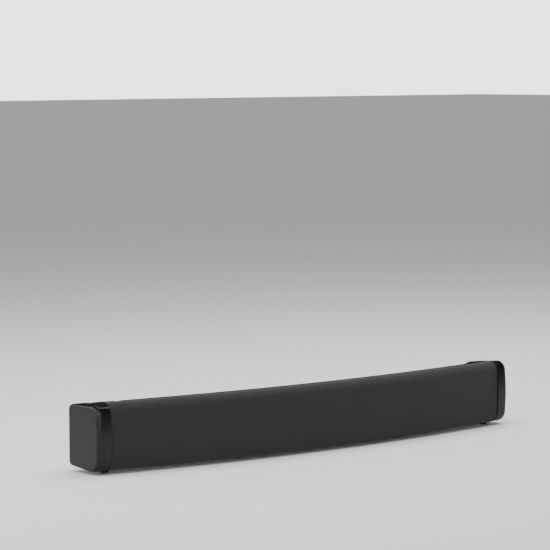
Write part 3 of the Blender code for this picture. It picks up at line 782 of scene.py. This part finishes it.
def symbol_ring(radius, width, start, end):
    angles = spaced(start, end, 24)
    outer = [Vector((math.cos(a), math.sin(a))) * (radius + width / 2) for a in angles]
    inner = [Vector((math.cos(a), math.sin(a))) * (radius - width / 2) for a in reversed(angles)]
    return outer + inner


def button_symbols(name):
    """Outlines of the plain symbol moulded on each button."""
    line = SYMBOL_LINE
    if name == "power_button":
        ring = symbol_ring(0.0013, line, math.radians(125), math.radians(415))
        return [ring, symbol_bar(line, 0.0014, (0, 0.0011))]
    if name == "source_button":
        return [symbol_bar(0.0026, line, (0, offset)) for offset in (-0.0009, 0, 0.0009)]
    if name == "volume_up_button":
        sides = [symbol_bar(0.0011, line, (offset, 0)) for offset in (-0.00085, 0.00085)]
        return sides + [symbol_bar(line, 0.0028)]
    if name == "volume_down_button":
        return [symbol_bar(0.0028, line)]
    half_turn = math.radians(50)
    arcs = [symbol_ring(radius, line, -half_turn, half_turn) for radius in (0.0010, 0.0019)]
    return [[point - Vector((0.0009, 0)) for point in arc] for arc in arcs]


def make_buttons():
    for name in BUTTONS:
        centre = middle(name)
        radius = size(name).z / 2 * BUTTON_SHARE
        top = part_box(name)[1].x
        place = out_of_side(top, centre.y, centre.z)
        shares = (0, 0.2, 0.4, 0.6, 0.75, 0.84)
        dish = [(radius * share, 0.0003 * (share**2 - 1)) for share in shares]
        rim = [(radius * 0.90, -0.00005), (radius * 0.96, -0.00025), (radius, -0.0007)]
        foot = [(radius, -0.0050), (0, -0.0050)]
        button = turned(name + "_cap", dish + rim + foot, SATIN, place, 40)
        stand_for(button, "satin_black", name)
        marks = []
        for outline in button_symbols(name):
            levels = (-0.0005, -0.00012)
            marks.append(extruded("mark", (outline, outline), levels, SYMBOL, place))
        go_with(joined(name + "_symbol", marks), name)


# ---------------------------------------------------------------- housing


def make_top_panel():
    """The matt sloping panel, with a low lip along the cloth between the two strips."""
    strip_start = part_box("right_top_strip")[0].x
    rings = []
    for x in spaced(-CLOTH_HIGH.x, CLOTH_HIGH.x, STATIONS):
        start = panel_start(x)
        end = REAR_Y - SHELL_TOP_DEPTH
        lip = PANEL_LIP if abs(x) < strip_start else 0.0
        corners = [
            (start, panel_height(x, start) - WALL, 0, 0),
            (start, CLOTH_HIGH.z + lip, LIP_ROUND, 4),
            (end, panel_height(x, end), 0.0005, 3),
            (end, panel_height(x, end) - WALL, 0, 0),
        ]
        rings.append(section_ring(x, rounded(corners)))
    panel = loft("top_panel", rings, MATT)
    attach(panel, BODY_OF["rear_housing"])


def make_rear_shell():
    """The grained shell: the rear of the top, the frame of the back and the underside."""
    rings = []
    for x in spaced(-CLOTH_HIGH.x, CLOTH_HIGH.x, STATIONS):
        start = panel_start(x)
        edge = REAR_Y - SHELL_TOP_DEPTH + SEAM
        outer = [
            (edge, panel_height(x, edge) - WALL, 0, 0),
            (edge, panel_height(x, edge), 0.0005, 3),
            (REAR_Y, panel_height(x, REAR_Y), REAR_RADIUS, 8),
            (REAR_Y, REAR_BOTTOM, REAR_RADIUS, 8),
            (start, floor_height(x, start), 0.0008, 4),
            (start, floor_height(x, start) + WALL, 0, 0),
        ]
        inner = [
            (REAR_Y - WALL, REAR_BOTTOM + WALL, REAR_RADIUS - WALL, 4),
            (REAR_Y - WALL, panel_height(x, REAR_Y) - WALL, REAR_RADIUS - WALL, 4),
        ]
        rings.append(section_ring(x, rounded(outer + inner)))
    shell = loft("rear_shell", rings, SATIN)
    opening = PANEL_HIGH - PANEL_LOW
    centre = (PANEL_HIGH + PANEL_LOW) / 2
    outline = rounded_rectangle(opening.x + 0.0008, opening.z + 0.0008, 0.0030)
    place = out_of_back(centre.x, REAR_Y, centre.z)
    mouth = rounded_rectangle(opening.x + 0.0016, opening.z + 0.0016, 0.0034)
    outlines = (outline, outline, mouth)
    window = extruded("window", outlines, (-0.006, -0.0005, 0.0001), SATIN, place)
    cut(shell, [window])
    stand_for(shell, "satin_black", "rear_housing")


def back_screw_places():
    places = []
    for x in BACK_SCREW_X:
        for z in (PANEL_LOW.z + SCREW_INSET, PANEL_HIGH.z - SCREW_INSET):
            places.append((x, z))
    return places


def slot_cutter(name, x, z, width, height, radius):
    """A straight hole through the back with an eased mouth."""
    plain = rounded_rectangle(width, height, radius)
    mouth = rounded_rectangle(width + 0.0008, height + 0.0008, radius + 0.0003)
    outlines = (plain, plain, mouth)
    return extruded(name, outlines, (-CUT_DEPTH, -0.0004, 0.0001), SATIN, out_of_back(x, REAR_Y, z))


def port_cutter(side):
    """A round hole for a port's mouth."""
    port = middle(side + "_port_tube")
    radius = PORT_HOLE_RADIUS
    profile = [(0, -CUT_DEPTH), (radius, -CUT_DEPTH), (radius, -0.0005)]
    profile += [(radius + 0.0005, 0.0001), (0, 0.0001)]
    return turned(side + "_port_hole", profile, SATIN, out_of_back(port.x, REAR_Y, port.z), 64)


def hanger_cutter(side):
    node = side + "_hanger_plate"
    plate = middle(node)
    wide, high = (measure + SEAM for measure in size(node).xz)
    return slot_cutter(side + "_hanger_hole", plate.x, plate.z, wide, high, 0.0003)


def vent_cutters():
    wide, high = VENT_SIZE
    cutters = []
    for group_x, count in VENT_GROUPS:
        for index in range(count):
            x = group_x + (index - (count - 1) / 2) * VENT_PITCH
            cutters.append(slot_cutter("vent", x, VENT_Z, wide, high, wide * 0.48))
    return cutters


def screw_well_cutters():
    """The shallow round wells that the heads of the back's screws sit in."""
    radius = SCREW_HEAD + 0.0007
    well = [(0, -SCREW_SINK), (radius, -SCREW_SINK), (radius, -0.0003)]
    well += [(radius + 0.0004, 0.0001), (0, 0.0001)]
    return [turned("well", well, SATIN, out_of_back(x, REAR_Y, z), 32) for x, z in back_screw_places()]


def make_back_cover():
    """The flat cover in the back, with vents, screw wells and an opening for each fitting."""
    span = PANEL_HIGH - PANEL_LOW
    centre = (PANEL_HIGH + PANEL_LOW) / 2
    place = out_of_back(centre.x, REAR_Y - WALL, centre.z)
    cover = pad("back_cover", span.x - SEAM, span.z - SEAM, WALL, 0.0026, 0.0005, SATIN, place)
    cutters = []
    for node, radius in (("connector_panel", 0.0012), ("power_inlet", 0.0010)):
        wide, high = size(node).x + SEAM, size(node).z + SEAM
        cutters.append(slot_cutter(node + "_hole", middle(node).x, middle(node).z, wide, high, radius))
    for side in ("left", "right"):
        cutters += [port_cutter(side), hanger_cutter(side)]
    cutters += vent_cutters() + screw_well_cutters()
    cut(cover, [joined("cover_cutters", cutters)])
    stand_for(cover, "satin_black", "back_panel")


def make_screw(name, place):
    """A pan head screw with a cross recess, its head's rim at the place's own zero."""
    radius = SCREW_HEAD
    shares = (0, 0.3, 0.55, 0.75, 0.9)
    dome = [(radius * share, 0.0011 * math.sqrt(1 - 0.7 * share**2)) for share in shares]
    head = turned(name, dome + [(radius, 0.0004), (radius, -0.0012), (0, -0.0012)], ZINC, place, 32)
    bars = []
    for turn in (0.0, math.pi / 2):
        wide = symbol_bar(0.0032, 0.0006, (0, 0), turn)
        narrow = symbol_bar(0.0018, 0.0004, (0, 0), turn)
        bars.append(extruded("bar", (narrow, wide), (-0.0004, 0.0016), ZINC, place))
    return cut(head, bars)


def make_screws():
    """All screws of the back and the underside, copies of one mesh."""
    first = make_screw("screw", Matrix.Identity(4))
    heads = []
    for x, z in back_screw_places():
        heads.append(out_of_back(x, REAR_Y - SCREW_SINK, z))
    downwards = Matrix.Rotation(math.pi, 4, "X")
    y = REAR_Y - UNDER_SCREW_INSET
    for side in (-1, 1):
        for x in UNDER_SCREW_X:
            z = floor_height(side * x, y) + 0.0008
            heads.append(Matrix.Translation((side * x, y, z)) @ downwards)
    for index, place in enumerate(heads):
        screw = bpy.data.objects.new(f"screw_{index:02d}", first.data)
        bpy.context.scene.collection.objects.link(screw)
        screw.matrix_world = place
        go_with(screw, "rear_housing")
    bpy.data.objects.remove(first)


# ---------------------------------------------------------------- strips, feet and back fittings


def make_strip(name):
    """The raised trim strip on the sloping top, with eased edges."""
    low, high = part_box(name)
    edge = 0.0005
    rings = []
    ends = ((low.x, edge), (low.x + edge, 0), (high.x - edge, 0), (high.x, edge))
    for x, inset in ends:
        front = low.y + inset
        rear = high.y - inset
        corners = [
            (front, panel_height(x, front) + STRIP_GAP, 0, 0),
            (front, panel_height(x, front) + STRIP_FRONT - inset, 0.0007, 4),
            (rear, panel_height(x, rear) + STRIP_REAR - inset, 0.0009, 4),
            (rear, panel_height(x, rear) + STRIP_GAP, 0, 0),
        ]
        rings.append(section_ring(x, rounded(corners)))
    stand_for(loft(name + "_trim", rings, MATT), "satin_black", name)


def make_foot(name):
    """A moulded rubber foot with an eased tread and a shallow ring in it."""
    low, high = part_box(name)
    radius = (high.x - low.x) / 2
    top = high.z - low.z
    tread = [(0, 0.0006), (radius * 0.45, 0.0006), (radius * 0.50, 0.0), (radius * 0.86, 0.0)]
    wall = [(radius * 0.96, 0.0004), (radius, 0.0012), (radius, top), (0, top)]
    place = Matrix.Translation((middle(name).x, middle(name).y, low.z))
    stand_for(turned(name + "_pad", tread + wall, RUBBER, place), "rubber", name)


def make_port(name):
    """A reflex tube with a flared mouth."""
    centre = middle(name)
    flare = []
    for angle in spaced(0, 1.5, 8):
        flare.append((0.0142 + 0.0018 * (1 - math.cos(angle)), -0.0045 * (1 - math.sin(angle))))
    mouth = [(0.0160, 0.0), (0.0160, -0.0480), (0.0152, -0.0500), (0.0142, -0.0500)]
    place = out_of_back(centre.x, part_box(name)[1].y, centre.z)
    tube = turned(name + "_flare", flare + mouth + [flare[0]], INNER, place, 64)
    stand_for(tube, "inner_plastic", name)


def make_inlet():
    """The two-pin power inlet: a figure-of-eight well with two round pins."""
    low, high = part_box("power_inlet")
    centre = middle("power_inlet")
    place = out_of_back(centre.x, high.y - INLET_DEPTH, centre.z)
    block = pad("inlet_body", high.x - low.x, high.z - low.z, INLET_DEPTH, 0.0012, 0.0005, INNER, place)
    spots = []
    for offset in (-INLET_PIN_X, INLET_PIN_X):
        spots.append(out_of_back(centre.x + offset, high.y, centre.z))
    lobe = [(0, -0.0150), (0.0042, -0.0150), (0.0042, -0.0004), (0.0047, 0.0002), (0, 0.0002)]
    cut(block, [turned("lobe", lobe, INNER, spot, 40) for spot in spots])
    stand_for(block, "inner_plastic", "power_inlet")
    pin = [(0, -0.0020), (0.0007, -0.0023), (0.0012, -0.0032), (0.0012, -0.0155), (0, -0.0155)]
    for index, spot in enumerate(spots):
        go_with(turned(f"inlet_pin_{index}", pin, NICKEL, spot, 24), "power_inlet")


def socket_shell(node, outline, paint, slot):
    """A socket's block with a cavity of this outline in its outer face, whose place it returns."""
    low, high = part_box(node)
    centre = middle(node)
    place = out_of_back(centre.x, high.y - SOCKET_DEPTH, centre.z)
    wide, tall = high.x - low.x, high.z - low.z
    block = pad(node + "_shell", wide, tall, SOCKET_DEPTH, 0.0010, 0.0003, paint, place)
    grown = [point * 1.05 for point in outline]
    face = out_of_back(centre.x, high.y, centre.z)
    cavity = extruded("cavity", (outline, outline, grown), (-0.0095, -0.0004, 0.0002), paint, face)
    cut(block, [cavity])
    stand_for(block, slot, node)
    return face


def tongue(name, place, width, thick, offset, contacts, node):
    """The insulating tongue in a socket, with a row of contacts on it."""
    where = place @ Matrix.Translation((0, offset, -0.0090))
    go_with(pad(name, width, thick, 0.0075, thick * 0.2, 0.0002, INNER, where), node)
    strips = []
    for index in range(contacts):
        x = (index - (contacts - 1) / 2) * width * 0.8 / max(contacts - 1, 1)
        spot = place @ Matrix.Translation((x, offset - thick / 2 - 0.00004, -0.0088))
        wide = width * 0.4 / contacts
        strips.append(pad("contact", wide, 0.0002, 0.0066, 0.00005, 0.00003, NICKEL, spot))
    go_with(joined(name + "_contacts", strips), node)


def make_video_socket():
    """A wide socket whose lower corners slant in."""
    slanted = rounded(
        [
            (-0.0071, 0.0027, 0.0004, 3),
            (-0.0071, -0.0008, 0.0004, 3),
            (-0.0053, -0.0027, 0.0004, 3),
            (0.0053, -0.0027, 0.0004, 3),
            (0.0071, -0.0008, 0.0004, 3),
            (0.0071, 0.0027, 0.0004, 3),
        ]
    )
    place = socket_shell("video_socket", slanted, STEEL, "steel")
    tongue("video_tongue", place, 0.0110, 0.0012, 0.0004, 10, "video_socket")


def make_optical_socket():
    """A square socket behind a small door."""
    square = rounded_rectangle(0.0060, 0.0060, 0.0005)
    face = socket_shell("optical_socket", square, INNER, "inner_plastic")
    place = face @ Matrix.Translation((0, 0, -0.0024))
    door = pad("optical_door", 0.0057, 0.0057, 0.0008, 0.0004, 0.0002, SATIN, place)
    go_with(door, "optical_socket")


def make_data_socket():
    slot = rounded_rectangle(0.0122, 0.0050, 0.0004)
    place = socket_shell("data_socket", slot, STEEL, "steel")
    tongue("data_tongue", place, 0.0106, 0.0018, 0.0009, 4, "data_socket")


def make_line_socket():
    """A round socket with a metal ring in its mouth."""
    radius = LINE_SOCKET_RADIUS
    angles = spaced(0, 2 * math.pi, 32)[:-1]
    circle = [Vector((radius * math.cos(angle), radius * math.sin(angle))) for angle in angles]
    place = socket_shell("line_socket", circle, INNER, "inner_plastic")
    bore = [(radius, -0.0080), (radius, 0.0001), (0.0020, 0.0003)]
    rim = [(0.0029, 0.0003), (0.0030, -0.0002), (0.0030, -0.0080)]
    go_with(turned("line_ring", bore + rim, NICKEL, place, 40), "line_socket")


# ---------------------------------------------------------------- carried-over CAD nodes


NODE_FINISHES = {
    "grille_frame": INNER,
    "front_baffle": INNER,
    "divider": INNER,
    "connector_panel": INNER,
    "hanger_plate": STEEL,
    "main_board": BOARD,
    "heat_sink": ALUMINIUM,
    "wireless_module": BOARD,
    "power_supply_board": BOARD,
    "transformer": FERRITE,
    "filter_capacitor": ALUMINIUM,
    "infrared_board": BOARD,
    "button_board": BOARD,
    "basket": STEEL,
    "magnet": FERRITE,
    "cone": PAPER,
    "surround": RUBBER,
    "plate": SATIN,
    "dome": DOME,
}
EASED = {"hanger_plate": 0.0003, "connector_panel": 0.0003, "transformer": 0.0004, "heat_sink": 0.0002}


def finish_cad_nodes():
    """Every CAD node still shown gets a node material, and the sharp edges of a few kinds are eased."""
    for name, node in NODES.items():
        if node.hide_render:
            continue
        ending = max((key for key in NODE_FINISHES if name.endswith(key)), key=len)
        node.data.materials.clear()
        node.data.materials.append(NODE_FINISHES[ending])
        node.data.shade_smooth()
        node.data.set_sharp_from_angle(angle=NODE_SHARP_ANGLE)
        for key, width in EASED.items():
            if name.endswith(key):
                edge = node.modifiers.new("eased", "BEVEL")
                edge.width = width
                edge.segments = 2
                edge.limit_method = "ANGLE"


# ---------------------------------------------------------------- studio


def make_floor():
    form = bmesh.new()
    bmesh.ops.create_grid(form, x_segments=1, y_segments=1, size=FLOOR_SIZE)
    finish("floor", form, paint_floor())


def ramp(tree, value, limits):
    """Turns a value in the first two limits' range into a level between the last two."""
    made = tree.nodes.new("ShaderNodeMapRange")
    for socket, limit in zip(("From Min", "From Max", "To Min", "To Max"), limits):
        made.inputs[socket].default_value = limit
    tree.links.new(value, made.inputs["Value"])
    return made.outputs["Result"]


def make_world():
    """Bright near the horizon and dim above it, and dimmer on the side away from BRIGHT_SIDE."""
    world = bpy.data.worlds.new("studio")
    bpy.context.scene.world = world
    world.use_nodes = True
    tree = world.node_tree
    background = tree.nodes["Background"]
    background.inputs["Strength"].default_value = 1.0
    direction = tree.nodes.new("ShaderNodeTexCoord").outputs["Generated"]
    parts = tree.nodes.new("ShaderNodeSeparateXYZ")
    tree.links.new(direction, parts.inputs[0])
    facing = tree.nodes.new("ShaderNodeVectorMath")
    facing.operation = "DOT_PRODUCT"
    facing.inputs[1].default_value = BRIGHT_SIDE
    tree.links.new(direction, facing.inputs[0])
    level = tree.nodes.new("ShaderNodeMath")
    level.operation = "MULTIPLY"
    tree.links.new(ramp(tree, parts.outputs["Z"], HEIGHT_RAMP), level.inputs[0])
    tree.links.new(ramp(tree, facing.outputs["Value"], SIDE_RAMP), level.inputs[1])
    tree.links.new(level.outputs[0], background.inputs["Color"])


def add_light(name, place, width, height, power):
    """A rectangular soft light that faces the bar."""
    lamp = bpy.data.lights.new(name, "AREA")
    lamp.shape = "RECTANGLE"
    lamp.size = width
    lamp.size_y = height
    lamp.energy = power
    light = bpy.data.objects.new(name, lamp)
    bpy.context.scene.collection.objects.link(light)
    light.location = place
    towards = Vector(LIGHT_TARGET) - Vector(place)
    light.rotation_euler = towards.to_track_quat("-Z", "Y").to_euler()


def make_camera():
    """A long lens from the bar's left, a little above it."""
    data = bpy.data.cameras.new("camera")
    data.lens = CAMERA_LENS
    data.sensor_width = CAMERA_SENSOR
    camera = bpy.data.objects.new("camera", data)
    bpy.context.scene.collection.objects.link(camera)
    yaw = Matrix.Rotation(-CAMERA_YAW, 4, "Z")
    pitch = Matrix.Rotation(math.radians(90) - CAMERA_PITCH, 4, "X")
    roll = Matrix.Rotation(-CAMERA_ROLL, 4, "Z")
    camera.matrix_world = Matrix.Translation(CAMERA_PLACE) @ yaw @ pitch @ roll
    bpy.context.scene.camera = camera


# ---------------------------------------------------------------- assembly


make_cloth()
make_caps()
make_buttons()
make_top_panel()
make_rear_shell()
make_back_cover()
make_screws()
for side in ("left", "right"):
    make_strip(side + "_top_strip")
    make_foot(side + "_front_foot")
    make_foot(side + "_rear_foot")
    make_port(side + "_port_tube")
make_inlet()
make_video_socket()
make_optical_socket()
make_data_socket()
make_line_socket()
finish_cad_nodes()
make_floor()
make_world()
add_light("overhead", (0.0, 0.1, 2.4), 4.4, 2.6, 130)
add_light("left_panel", (-2.6, -1.6, 1.5), 1.6, 1.6, 12)
make_camera()
